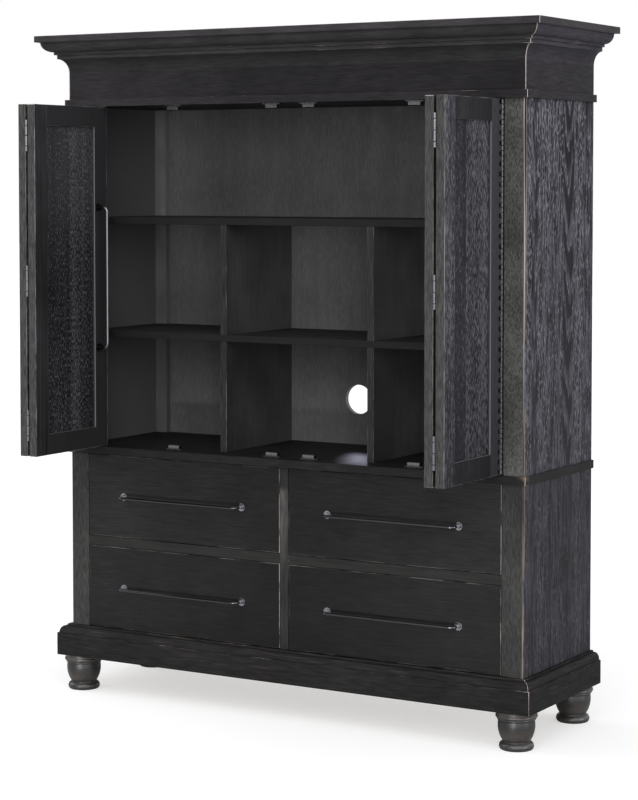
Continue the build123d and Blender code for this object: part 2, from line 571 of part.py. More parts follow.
def piano_hinge():
    """Right-hand piano hinge with the door shut: case leaf, door leaf and pin."""
    pairs = int(DOOR_HEIGHT // (2 * KNUCKLE_LENGTH))
    count = 2 * pairs + 1
    pitch = DOOR_HEIGHT / count
    spans = [(DOOR_BOTTOM + i * pitch, DOOR_BOTTOM + (i + 1) * pitch) for i in range(count)]
    reach = BARREL_RADIUS + NOTCH_CLEARANCE
    y_notch = (FACE_Y - reach, FACE_Y + reach)
    barrel = Pos(PIVOT_X, FACE_Y) * Circle(BARREL_RADIUS)
    plate_back = FACE_Y + PIANO_PLATE_DEPTH
    plate_middle = HINGE_GAP - PIANO_PLATE_THICKNESS / 2
    leaves = []
    for side in (1, -1):
        plate = Pos(PIVOT_X + side * plate_middle, (FACE_Y + plate_back) / 2) * Rectangle(
            PIANO_PLATE_THICKNESS, PIANO_PLATE_DEPTH)
        knuckles = [(span, i % 2 == (0 if side > 0 else 1)) for i, span in enumerate(spans)]
        x_notch = (PIVOT_X - reach, PIVOT_X + reach)
        leaves.append(hinge_leaf(barrel + plate, (PIVOT_X, FACE_Y), knuckles, (x_notch, y_notch)))
    pin = rod(PIVOT_X, FACE_Y, (DOOR_BOTTOM, DOOR_TOP), PIN_RADIUS)
    return leaves[0], leaves[1], pin


def fold_hinges():
    """Three butt hinges on the backs of the shut right-hand leaves: outer leaves, inner leaves, pins."""
    back = FACE_Y + LEAF_THICKNESS
    reach = BARREL_RADIUS + NOTCH_CLEARANCE
    x_notch = (FOLD_X - reach, FOLD_X + reach)
    y_notch = (back - reach, FOLD_Y + reach)
    barrel = Pos(FOLD_X, FOLD_Y) * Circle(BARREL_RADIUS)
    sixth = FOLD_HINGE_LENGTH / 6
    outer, inner, pins = [], [], []
    for step in (-1, 0, 1):
        bottom = DOOR_MIDDLE + step * FOLD_HINGE_SPACING - FOLD_HINGE_LENGTH / 2
        marks = [bottom + sixth * count for count in (0, 1, 3, 5, 6)]
        spans = list(zip(marks[:-1], marks[1:]))
        for side, leaves in ((1, outer), (-1, inner)):
            plate = Pos(FOLD_X + side * FOLD_PLATE_WIDTH / 2, back + FOLD_PLATE_THICKNESS / 2) * Rectangle(
                FOLD_PLATE_WIDTH, FOLD_PLATE_THICKNESS)
            knuckles = [(span, i % 2 == (0 if side > 0 else 1)) for i, span in enumerate(spans)]
            leaves.append(hinge_leaf(barrel + plate, (FOLD_X, FOLD_Y), knuckles, (x_notch, y_notch)))
        pins.append(rod(FOLD_X, FOLD_Y, (bottom, bottom + FOLD_HINGE_LENGTH), PIN_RADIUS))
    return outer, inner, pins


def strikes(x):
    """Strike plates on the back of a shut leaf, one at the top and one at the bottom."""
    back = FACE_Y + LEAF_THICKNESS
    span = (x - STRIKE_LENGTH / 2, x + STRIKE_LENGTH / 2)
    plates = []
    for low in (DOOR_BOTTOM + STRIKE_MARGIN, DOOR_TOP - STRIKE_MARGIN - STRIKE_HEIGHT):
        plates.append(board(span, (back, back + STRIKE_THICKNESS), (low, low + STRIKE_HEIGHT)))
    return plates


def door_pieces():
    """Both pairs of folding doors in their open, folded place, with hinges and catches."""
    outer_frame, outer_panel = leaf_frame_and_panel(HINGE_GAP, OUTER_LEAF)
    inner_start = HINGE_GAP + OUTER_LEAF + FOLD_GAP
    inner_frame, inner_panel = leaf_frame_and_panel(inner_start, INNER_LEAF)
    case_leaf, door_leaf, piano_pin = piano_hinge()
    outer_plates, inner_plates, fold_pins = fold_hinges()
    near, far = CATCH_CENTRES

    pull_x = PIVOT_X - inner_start - INNER_LEAF + PULL_TO_MEETING_EDGE
    seat = Pos(pull_x, FACE_Y, DOOR_MIDDLE) * Rot(0, 90, 0)
    pull = [seat * piece for piece in pull_and_screws(LEAF_THICKNESS)]
    holes = seat * screw_holes(LEAF_THICKNESS)
    inner_frame = [piece - holes for piece in inner_frame]

    def open_outer(piece):
        return piece.rotate(PIVOT_AXIS, 90)

    def open_inner(piece):
        return open_outer(piece.rotate(FOLD_AXIS, -180))

    outer_nodes = {"frame": outer_frame, "panel": [outer_panel], "piano_hinge_leaf": [door_leaf],
                   "fittings": outer_plates + fold_pins + strikes(far)}
    inner_nodes = {"frame": inner_frame, "panel": [inner_panel], "pull": pull,
                   "fittings": inner_plates + strikes(near)}
    for leaf, nodes, opened in (("outer", outer_nodes, open_outer), ("inner", inner_nodes, open_inner)):
        for kind, pieces in nodes.items():
            placed = [opened(piece) for piece in pieces]
            write("_".join(("right", leaf, "door", kind)), placed)
            write("_".join(("left", leaf, "door", kind)), [mirrored(piece) for piece in placed])
    write("piano_hinge_case_leaves", both_sides(case_leaf) + both_sides(piano_pin))

    catches = []
    y_span = (FACE_Y + CATCH_SETBACK, FACE_Y + CATCH_SETBACK + CATCH_DEPTH)
    for x in CATCH_CENTRES:
        for plane, way in ((FLOOR_TOP, 1), (CEILING, -1)):
            catch = None
            for length, height in ((CATCH_LENGTH, CATCH_FLANGE), (CATCH_BODY_LENGTH, CATCH_HEIGHT)):
                block = board((x - length / 2, x + length / 2), y_span, sorted((plane, plane + way * height)))
                catch = block if catch is None else catch + block
            catches += both_sides(catch)
    write("magnetic_catches", catches)


os.makedirs("parts", exist_ok=True)
base_pieces()
case_pieces()
cornice_pieces()
drawer_pieces()
door_pieces()
print("leaves", OUTER_LEAF, INNER_LEAF, "face at", FACE_Y, "height", TOTAL_HEIGHT)
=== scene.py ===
"""Looks of a black oak media cabinet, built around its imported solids. Metres, X right, Y back, Z up."""
import math

import bpy
import numpy as np
from mathutils import Matrix, Vector


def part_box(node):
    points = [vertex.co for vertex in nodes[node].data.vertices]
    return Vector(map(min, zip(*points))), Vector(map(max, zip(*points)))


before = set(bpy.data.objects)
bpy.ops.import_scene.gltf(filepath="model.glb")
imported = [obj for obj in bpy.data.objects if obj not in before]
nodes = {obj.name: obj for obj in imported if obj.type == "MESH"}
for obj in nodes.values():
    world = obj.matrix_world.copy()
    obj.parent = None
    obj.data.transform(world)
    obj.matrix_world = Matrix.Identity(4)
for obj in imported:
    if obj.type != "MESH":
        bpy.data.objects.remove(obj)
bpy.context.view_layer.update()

MM = 0.001
X, Y, Z = 0, 1, 2
SIDES = ("left", "right")
LEVELS = ("lower", "upper")
LEAVES = ("outer", "inner")

# Places and sizes of the solids that the finishes follow
FACE_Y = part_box("lower_stiles")[0].y
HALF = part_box("upper_side_right")[1].x
CASE_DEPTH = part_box("upper_side_right")[1].y - FACE_Y
HINGE_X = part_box("right_outer_door_frame")[1].x
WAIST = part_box("waist_board")[0].z
CORNER_WEAR = 4 * MM
SIDE_THICKNESS = 28 * MM
POST_WIDTH = 40 * MM
SHELF_SETBACK = 63 * MM
DIVIDER_THICKNESS = 21 * MM
DOOR_FRAME_WIDTH = 60 * MM
PIANO_KNUCKLES = 73
BUTT_HINGE_SPACING = 417.5 * MM
BUTT_HINGE_JOINT = 89 * MM / 3
CABLE_HOLE_HEIGHT = 885 * MM
CABLE_HOLE_RADIUS = 44.5 * MM

# Left end of the back, where it meets its post
LEFT_POST = -0.69

# Heights between which painted light changes, each pair hidden by the board it is named for
DRAWER_RAIL = (0.42, 0.48)
MIDDLE_SHELF = (1.06, 1.11)
TOP_SHELF = (1.41, 1.44)

# Bare wood under the stain, where hands and moving have rubbed it through
RUBBED_BROWN = "#5c524c"
RUBBED_PALE = "#bab1ac"

# Tones of the two leaves of a door. Flecks and pores are as oak and pale_pores take them;
# foot is the level of the tone at the foot of the leaf.
# The stile tone, on the hinge stile, is painted light where the case shades it
LEAF_LOOKS = {
    "outer": {"frame": ("#26262a", "#404046"), "stile": "#404043", "rail": "#222224", "top": "#4a4642",
              "flecks": ("#85858d", 0.5, (3.2, 16), 0.7), "panel": ("#1c1c1f", "#2d2d33"), "contrast": 0.4,
              "pores": (0.5, (2.5, 15), 0.695), "foot": 0.66},
    "inner": {"frame": ("#242425", "#3a3a3c"), "stile": "#333335", "rail": "#303031", "top": RUBBED_PALE,
              "flecks": None, "panel": ("#1f1f20", "#363638"), "contrast": 0.15,
              "pores": (0.7, (3.2, 10), 0.71), "foot": 1.0},
}


def linear(code):
    """Linear colour of an sRGB hex code: the power 2.4 curve with its straight foot."""
    share = np.array([int(code[place:place + 2], 16) for place in (1, 3, 5)]) / 255
    value = np.where(share <= 0.04045, share / 12.92, ((share + 0.055) / 1.055) ** 2.4)
    return (*value.tolist(), 1.0)


def node_adder(tree):
    """Empties a node tree and gives the one function that adds nodes to it."""
    tree.nodes.clear()

    def add(kind, *inputs, **settings):
        """Adds a node with its settings and links.

        Inputs come in order, or by name in a dictionary. Each is a number, a vector, an sRGB hex code, or
        the node or socket that it links from.
        """
        node = tree.nodes.new("ShaderNode" + kind)
        for name, value in settings.items():
            setattr(node, name, value)
        by_name = inputs and isinstance(inputs[0], dict)
        for key, value in inputs[0].items() if by_name else enumerate(inputs):
            if isinstance(value, bpy.types.Node):
                value = value.outputs[0]
            if isinstance(value, bpy.types.NodeSocket):
                tree.links.new(value, node.inputs[key])
            else:
                node.inputs[key].default_value = linear(value) if isinstance(value, str) else value
        return node
    return add


def new_finish(name):
    """An empty material: itself, the function that adds its nodes, and the place on the piece."""
    material = bpy.data.materials.new(name)
    material.use_nodes = True
    add = node_adder(material.node_tree)
    return material, add, add("TexCoord").outputs["Object"]


def product(add, first, *others):
    """Product of several values."""
    for value in others:
        first = add("Math", first, value, operation="MULTIPLY")
    return first


def fibres(add, place, along, width, length, **noise):
    """Noise drawn out along the fibres: width across them and length along them, in millimetres."""
    scale = [1 / (width * MM)] * 3
    scale[along] = 1 / (length * MM)
    drawn = add("VectorMath", place, scale, operation="MULTIPLY")
    return add("TexNoise", {"Vector": drawn, "Scale": 1.0, **noise})


def grained(add, lines, dark, light):
    """Tone between two that follows fibre noise."""
    return add("MixRGB", add("MapRange", lines, 0.35, 0.65), dark, light)


def least(add, distances):
    """Smallest of several distances."""
    nearest = distances[0]
    for distance in distances[1:]:
        nearest = add("Math", nearest, distance, operation="MINIMUM")
    return nearest


def offset_from(add, value, centre):
    """Distance along one coordinate from a centre."""
    return add("Math", add("Math", value, centre, operation="SUBTRACT"), operation="ABSOLUTE")


def board_edges(low, high):
    """Distance to the nearest edge of a board: the middle one of those to its three pairs of faces."""
    centre = [(a + b) / 2 for a, b in zip(low, high)]
    half = [(b - a) / 2 for a, b in zip(low, high)]

    def distance(add, place):
        offset = add("VectorMath", place, centre, operation="SUBTRACT")
        away = add("VectorMath", offset, operation="ABSOLUTE")
        x, y, z = add("SeparateXYZ", add("VectorMath", half, away, operation="SUBTRACT")).outputs
        rest = add("Math", add("Math", x, y, operation="MAXIMUM"), z, operation="MINIMUM")
        return add("Math", add("Math", x, y, operation="MINIMUM"), rest, operation="MAXIMUM")
    return distance


def outwards(add, place):
    """How far a place stands out from the case: in front of its face, and beside its sides."""
    x, y, _ = add("SeparateXYZ", place).outputs
    front = add("Math", FACE_Y, y, operation="SUBTRACT")
    beside = add("Math", add("Math", x, operation="ABSOLUTE"), HALF, operation="SUBTRACT")
    return front, beside


def moulding_edges(arrises, knocks):
    """Distance to the arrises of a moulding and to the mitres at its corners.

    An arris is a projection and a height in millimetres. Corners are knocked first, so a mitre counts as
    knocks millimetres wide, and near it every distance is cut by up to half of that.
    """
    def distance(add, place):
        front, beside = outwards(add, place)
        out = add("Math", front, beside, operation="MAXIMUM")
        section = add("CombineXYZ", out, 0.0, add("SeparateXYZ", place).outputs[Z])
        lines = []
        for projection, height in arrises:
            arris = (projection * MM, 0.0, height * MM)
            lines.append(add("VectorMath", section, arris, operation="DISTANCE").outputs["Value"])
        mitre = offset_from(add, front, beside)
        within = add("Math", mitre, knocks * MM, operation="SUBTRACT")
        wide = add("Math", within, add("Math", out, -1.0, operation="MULTIPLY"), operation="MAXIMUM")
        corner = add("MapRange", mitre, 0.0, 40 * MM, 0.5 * knocks * MM, 0.0)
        return add("Math", least(add, [wide] + lines), corner, operation="SUBTRACT")
    return distance


def rubbed(add, place, colour, distance, reach, cut, bare_wood=(RUBBED_BROWN, RUBBED_PALE)):
    """Rubs a colour through along edges: patchy noise sets how far in from the edge the bare wood shows."""
    patches = add("TexNoise", {"Vector": place, "Scale": 1 / (90 * MM), "Detail": 6.0, "Roughness": 0.68})
    depth = add("MapRange", patches, cut, cut + 0.25, 0.0, reach * MM)
    bare = add("Math", depth, distance, operation="SUBTRACT")
    brown = add("MapRange", bare, 0.0, 0.35 * MM)
    pale = add("MapRange", bare, 0.35 * reach * MM, 0.7 * reach * MM)
    return add("MixRGB", brown, colour, add("MixRGB", pale, *bare_wood))


def worn_corner(add, place, colour):
    """Front corner of the case rubbed to bare wood: split fibres, wide near the top and thin lower down."""
    lower_wear = 0.22
    front, beside = outwards(add, place)
    distance = add("Math", -CORNER_WEAR, add("Math", front, beside, operation="ADD"), operation="SUBTRACT")
    z = add("SeparateXYZ", place).outputs[Z]
    above_waist = add("MapRange", z, WAIST, WAIST + MM, lower_wear, 0.25)
    upwards = add("MapRange", z, 0.8, 1.5, 0.0, 0.75)
    wear = add("Math", above_waist, upwards, operation="ADD")
    lines = fibres(add, place, Z, 2.6, 500, Detail=1.0)
    patches = add("TexNoise", {"Vector": place, "Scale": 1 / (150 * MM), "Detail": 3.0})
    width = product(add, wear, add("MapRange", patches, 0.36, 0.6, 0.5 * MM, 5.0 * MM))
    width = add("Math", width, add("MapRange", z, WAIST, WAIST + MM, -0.3 * MM, 0.0), operation="ADD")
    split = add("Math", lines, 0.5, operation="SUBTRACT")
    ragged = add("Math", split, 5 * MM, width, operation="MULTIPLY_ADD")
    bare = add("MapRange", add("Math", ragged, distance, operation="SUBTRACT"), 0.0, 0.8 * MM)
    tone = add("MixRGB", add("MapRange", wear, lower_wear, 1.0, 0.1, 1.0), "#6f6059", "#bbb3b2")
    wood = add("MixRGB", add("MapRange", lines, 0.41, 0.57), "#2b2726", tone)
    return add("MixRGB", bare, colour, wood)


def cathedral(add, place, planks, period, rise):
    """Flat-sawn figure: tall rings that point down on the centre line of each plank.

    A plank is a place along Y, the half width of its figure and its strength. The ring count is
    (height - rise * (distance from the centre line / half width) ** 1.5) / period plus jagged fibre noise.
    Along each ring the tone is dark, jumps to light, then fades until the next ring.
    Gives that tone, and how much of it shows.
    """
    _, y, z = add("SeparateXYZ", place).outputs
    offsets = []
    near = 0.0
    for centre, width, strength in planks:
        offset = add("Math", offset_from(add, y, centre), width, operation="DIVIDE")
        shown = add("MapRange", offset, 0.85, 1.25, strength, 0.0)
        near = add("Math", near, shown, operation="MAXIMUM")
        offsets.append(offset)
    curve = add("Math", least(add, offsets), 1.5, operation="POWER")
    lifted = add("Math", curve, -rise * MM, z, operation="MULTIPLY_ADD")
    slow = fibres(add, place, Z, 60, 330, Detail=1.0)
    jagged = fibres(add, place, Z, 8, 70, Detail=1.0)
    jags = add("Math", jagged, 0.8, operation="MULTIPLY")
    wander = add("Math", slow, 2.2, jags, operation="MULTIPLY_ADD")
    wander = add("Math", y, 1 / (170 * MM), wander, operation="MULTIPLY_ADD")
    count = add("Math", lifted, 1 / (period * MM), wander, operation="MULTIPLY_ADD")
    ring = add("Math", count, operation="FRACT")
    tone = product(add, add("MapRange", ring, 0.5, 0.56), add("MapRange", ring, 0.56, 1.0, 1.0, 0.5))
    return tone, near


def pale_pores(add, place, along, colour, pale, amount, size, cut, lean=None):
    """Open pores that have lost their stain: pale dashes where fibre noise, with broad bands, passes a cut.

    The real pores are 0.3 mm wide and are drawn 2.5 to 6.5 mm wide, so that they show from across a room.
    lean adds to the noise, so that more pores show where it is high.
    """
    dashes = fibres(add, place, along, *size, Detail=1.0)
    bands = fibres(add, place, along, 45, 1500, Detail=2.0)
    marks = add("Math", bands, 0.35, dashes, operation="MULTIPLY_ADD")
    if lean:
        marks = add("Math", marks, lean, operation="ADD")
    return add("MixRGB", add("MapRange", marks, cut, cut + 0.14, 0.0, amount), colour, pale)


def oak(name, along, dark, light, streak=(4.5, 150), contrast=0.2, blotch=0.2, flecks=None, figure=None,
        tint=None, edge=None, rub=(1.6, 0.5), sheen=0.07, rough=0.55, relief=0.25):
    """Black stained oak: fibre streaks between two tones, slow blotches, pale pores, rubbed edges.

    streak is the width and length of the streaks in millimetres, and the smaller contrast is, the sharper
    they are; flecks is the colour, amount, size and cut of the pores; figure gives tone and strength as
    cathedral does; tint changes the finished tone by place; edge gives the distance to the edges, and rub
    how far in from them the stain is worn, how much of their length stays black and, if they differ, the
    tones of the bare wood; relief is the strength of the grain's bump.
    """
    material, add, place = new_finish(name)
    streaks = fibres(add, place, along, *streak, Detail=2.5, Roughness=0.6)
    share = add("MapRange", streaks, 0.5 - contrast, 0.5 + contrast)
    lean = None
    if figure:
        tone, near = figure(add, place)
        figured = product(add, tone, add("Math", share, 0.8, 0.45, operation="MULTIPLY_ADD"))
        share = add("MixRGB", near, share, figured)
        lean = product(add, add("Math", tone, 1.0, operation="SUBTRACT"), near, 0.3)
    clouds = add("TexNoise", {"Vector": place, "Scale": 1 / (130 * MM), "Detail": 3.0})
    level = add("MapRange", clouds, 0.3, 0.7, 1 - blotch, 1 + blotch)
    colour = add("MixRGB", 1.0, add("MixRGB", share, dark, light), level, blend_type="MULTIPLY")
    if flecks:
        colour = pale_pores(add, place, along, colour, *flecks, lean)
    if tint:
        colour = tint(add, place, colour)
    if edge:
        colour = rubbed(add, place, colour, edge(add, place), *rub)
    roughness = add("MapRange", streaks, 0.3, 0.7, rough + 0.06, rough - 0.06)
    grain = add("Bump", {"Height": streaks, "Strength": relief, "Distance": 0.4 * MM})
    shader = add("BsdfPrincipled", {"Base Color": colour, "Roughness": roughness,
                                    "Specular IOR Level": sheen, "Normal": grain})
    add("OutputMaterial", shader)
    return material


def dress(material, *names):
    """Gives CAD nodes one material in all their slots."""
    for name in names:
        mesh = nodes[name].data
        mesh.materials.clear()
        mesh.materials.append(material)


def dress_sides():
    """Sides of the case: figured planks outside, plain veneer inside."""
    # Distance of each figure behind the front, its half width, both in millimetres, and its strength
    planks = ((62, 16, 0.7), (278, 30, 1.0), (415, 26, 0.3))
    joint = FACE_Y + 0.38 * CASE_DEPTH
    ring_period = 140
    ring_rise = 55

    def side_tint(add, place, colour):
        """Grain calming to the foot, a dark plank joint, veneer inside in painted light, a worn corner."""
        front, beside = outwards(add, place)
        _, y, z = add("SeparateXYZ", place).outputs
        colour = add("MixRGB", add("MapRange", z, 0.8, 1.7, 0.46, 0.0), colour, "#323135")
        gap = add("MapRange", offset_from(add, y, joint), 2 * MM, 12 * MM, 0.5, 0.0)
        colour = add("MixRGB", gap, colour, "#141416")
        # Painted light on the inside veneer: paler towards the back, against the shade deep in the case
        painted_depth_light = add("MapRange", front, -CASE_DEPTH, 0.0, 1.0, 0.0)
        veneer = add("MixRGB", painted_depth_light, "#3a3a3c", "#747476")
        inside = add("MapRange", beside, 0.5 * MM - SIDE_THICKNESS, MM - SIDE_THICKNESS, 1.0, 0.0)
        return worn_corner(add, place, add("MixRGB", inside, colour, veneer))

    # Wire-brushed white oak, black stained: hollowed soft rings stay dark, hard rings catch the light
    looks = (("lower", "#1a191c", "#414045", 0.4), ("upper", "#19181c", "#57565e", 1.0))
    for level, dark, light, strength in looks:
        figured = [(FACE_Y + behind * MM, width * MM, share * strength) for behind, width, share in planks]
        for side in SIDES:
            material = oak(f"wire-brushed black oak, {level} {side} side", Z, dark, light,
                           streak=(7, 100), contrast=0.07, tint=side_tint,
                           flecks=("#9a99a2", 0.5 * strength, (6.5, 16), 0.7),
                           figure=lambda add, place: cathedral(add, place, figured, ring_period, ring_rise))
            dress(material, f"{level}_side_{side}")


def dress_face_frame():
    """Stiles of the case and the rails between the drawers."""
    # Straight-grained stiles: fine upright grain, a little green where the stain is thin
    stile = oak("straight-grained black oak", Z, "#1f1f1f", "#3e3e3d", streak=(4.6, 24), contrast=0.28,
                tint=worn_corner)
    dress(stile, "lower_stiles")
    barrel = HINGE_X - HALF + 6.5 * MM

    def upper_tint(add, place, colour):
        """The worn corner, and a painted shade line where the stile meets the barrel of the piano hinge."""
        # Painted shade in the crevice between the stile and the hinge barrel
        gap = add("MapRange", outwards(add, place)[1], barrel, barrel + MM, 1.0, 0.0)
        return worn_corner(add, place, add("MixRGB", gap, colour, "#151515"))

    # Paler copy of the stile oak on the upper stiles: painted light where the folded door leaves shade them
    upper = oak("straight-grained black oak, upper stiles", Z, "#353634", "#696967", streak=(3, 9),
                contrast=0.21, blotch=0.3, tint=upper_tint)
    dress(upper, "upper_stiles")

    def handled(add, place, colour):
        """Centre stile brushed against between the upper drawers, so that its grain shows paler there."""
        x, _, z = add("SeparateXYZ", place).outputs
        height = product(add, add("MapRange", z, 0.44, 0.56), add("MapRange", z, 0.655, 0.67, 0.8, 0.0))
        across = add("MapRange", x, -4 * MM, 14 * MM, 1.0, 0.25)
        lines = add("MapRange", fibres(add, place, Z, 3.4, 45, Detail=2.0), 0.36, 0.6, 0.35, 1.0)
        return add("MixRGB", product(add, height, across, lines), colour, "#5a5755")

    centre = oak("straight-grained black oak, centre stile", Z, "#181818", "#323231", streak=(3.4, 60),
                 contrast=0.26, blotch=0.25, tint=handled, edge=board_edges(*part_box("lower_centre_stile")),
                 rub=(1.0, 0.5))
    dress(centre, "lower_centre_stile")
    # Smooth sanded oak with a satin coat: nearly flat black, the grain only just shows
    rail = oak("smooth black oak rail", X, "#1b1b1b", "#2a2a29", streak=(4, 120), contrast=0.3, blotch=0.15)
    dress(rail, "drawer_rails")


def dress_drawer_fronts():
    """Four drawer fronts, the lower pair stained deeper."""
    # The right ends wear a little further in than the other edges
    right_end = Vector((0.8 * MM, 0.0, 0.0))

    def painted_light_on_fronts(add, place, colour):
        """Painted light towards the outer ends; painted shade low on the upper drawers, paler upwards."""
        x, _, z = add("SeparateXYZ", place).outputs
        # Painted light towards the outer ends, and painted shade low on the upper drawers against the floor
        # bounce
        across = add("MapRange", add("Math", x, operation="ABSOLUTE"), 0.05, 0.65, 0.78, 1.18)
        upper = add("MapRange", z, *DRAWER_RAIL, 1.0, 0.86)
        upwards = add("MapRange", z, DRAWER_RAIL[1], 0.68, 1.0, 1.28)
        return add("MixRGB", 1.0, colour, product(add, across, upper, upwards), blend_type="MULTIPLY")

    # Smooth black oak under a satin coat: fine level grain, a thin brown-grey line worn along the edges
    for level, dark, light in (("lower", "#111111", "#242424"), ("upper", "#151515", "#2b2b2b")):
        for side in SIDES:
            node = f"{level}_{side}_drawer_front"
            low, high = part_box(node)
            material = oak(f"smooth black oak, {level} {side} drawer front", X, dark, light,
                           streak=(2.6, 60), contrast=0.34, blotch=0.13, tint=painted_light_on_fronts,
                           rub=(1.3, 0.3, ("#4e4c4a", "#8c8986")), edge=board_edges(low, high - right_end))
            dress(material, node)


def dress_mouldings():
    """Plinth, waist board, frieze, crown and cap, rubbed through along their arrises and mitres."""
    # Arrises: how far each stands out from the case, and its height, in millimetres
    plinth = [(33, 105), (33, 172), (10, 198)]
    waist = [(7, 724), (7, 748)]
    frieze = [(10, 1769), (10, 1790)]
    crown = [(26, 1912), (26, 1924), (33, 1924), (33, 1932)]
    cap = [(75.5, 1961), (75.5, 1980)]
    band_top = frieze[1][1] * MM
    cove_top = crown[0][1] * MM
    cap_foot = cap[0][1] * MM

    def knocked_ends(add, place, colour):
        """Waist board knocked to bare wood in patches near its front corners."""
        front, beside = outwards(add, place)
        outside = add("MapRange", add("Math", front, beside, operation="MAXIMUM"), -3 * MM, -MM)
        near = add("MapRange", offset_from(add, front, beside), MM, 28 * MM, 0.8, 0.0)
        knocks = add("TexNoise", {"Vector": place, "Scale": 1 / (18 * MM), "Detail": 4.0})
        patches = add("MapRange", knocks, 0.4, 0.62)
        return add("MixRGB", product(add, outside, near, patches), colour, "#8a7568")

    def paler_left_end(add, place, colour):
        """Frieze, paler towards its left end and on the band at its foot."""
        x, _, z = add("SeparateXYZ", place).outputs
        across = add("MapRange", x, -0.65, 0.0, 1.45, 1.0)
        band = add("MapRange", z, band_top - MM, band_top + MM, 1.2, 1.0)
        return add("MixRGB", 1.0, colour, product(add, across, band), blend_type="MULTIPLY")

    def painted_shade_in_cove(add, place, colour):
        """Crown made darker in the cove under its steps: painted shade."""
        z = add("SeparateXYZ", place).outputs[Z]
        level = add("MapRange", z, cove_top - 7 * MM, cove_top, 0.68, 1.0)
        return add("MixRGB", 1.0, colour, level, blend_type="MULTIPLY")

    def painted_light_underside(add, place, colour):
        """Cap made paler on its underside: painted light in place of its shade."""
        z = add("SeparateXYZ", place).outputs[Z]
        under = add("MapRange", z, cap_foot + 0.2 * MM, cap_foot + 0.6 * MM, 1.0, 0.0)
        return add("MixRGB", under, colour, "#595959")

    # Node, its tones, the width in millimetres worn at its mitres, its arrises and its tint
    mouldings = (
        ("plinth_front", "#151515", "#292828", 0.55, plinth, None),
        ("plinth_sides", "#151515", "#282727", 0.55, plinth, None),
        ("waist_board", "#1b1b1b", "#2b2b2b", 0.8, waist, knocked_ends),
        ("frieze_front", "#1f1e1f", "#302e31", 1.25, frieze, paler_left_end),
        ("frieze_sides", "#212022", "#343136", 1.25, frieze, None),
        ("crown_front", "#2f2e2f", "#474647", 1.25, crown, painted_shade_in_cove),
        ("crown_sides", "#333136", "#4a474f", 1.25, crown, painted_shade_in_cove),
        ("cap_board", "#302e31", "#494649", 1.25, cap, painted_light_underside),
    )
    # Smooth black oak: faint grain along each length, a broken pale line where an arris is rubbed
    for node, dark, light, knocks, arrises, tint in mouldings:
        along = Y if "sides" in node else X
        pores = ("#544d48", 0.22, (4, 120), 0.76) if "plinth" in node else None
        material = oak(f"black oak moulding, {node}", along, dark, light, streak=(5, 50), contrast=0.3,
                       flecks=pores, tint=tint, edge=moulding_edges(arrises, knocks), rub=(1.3, 0.47))
        dress(material, node)


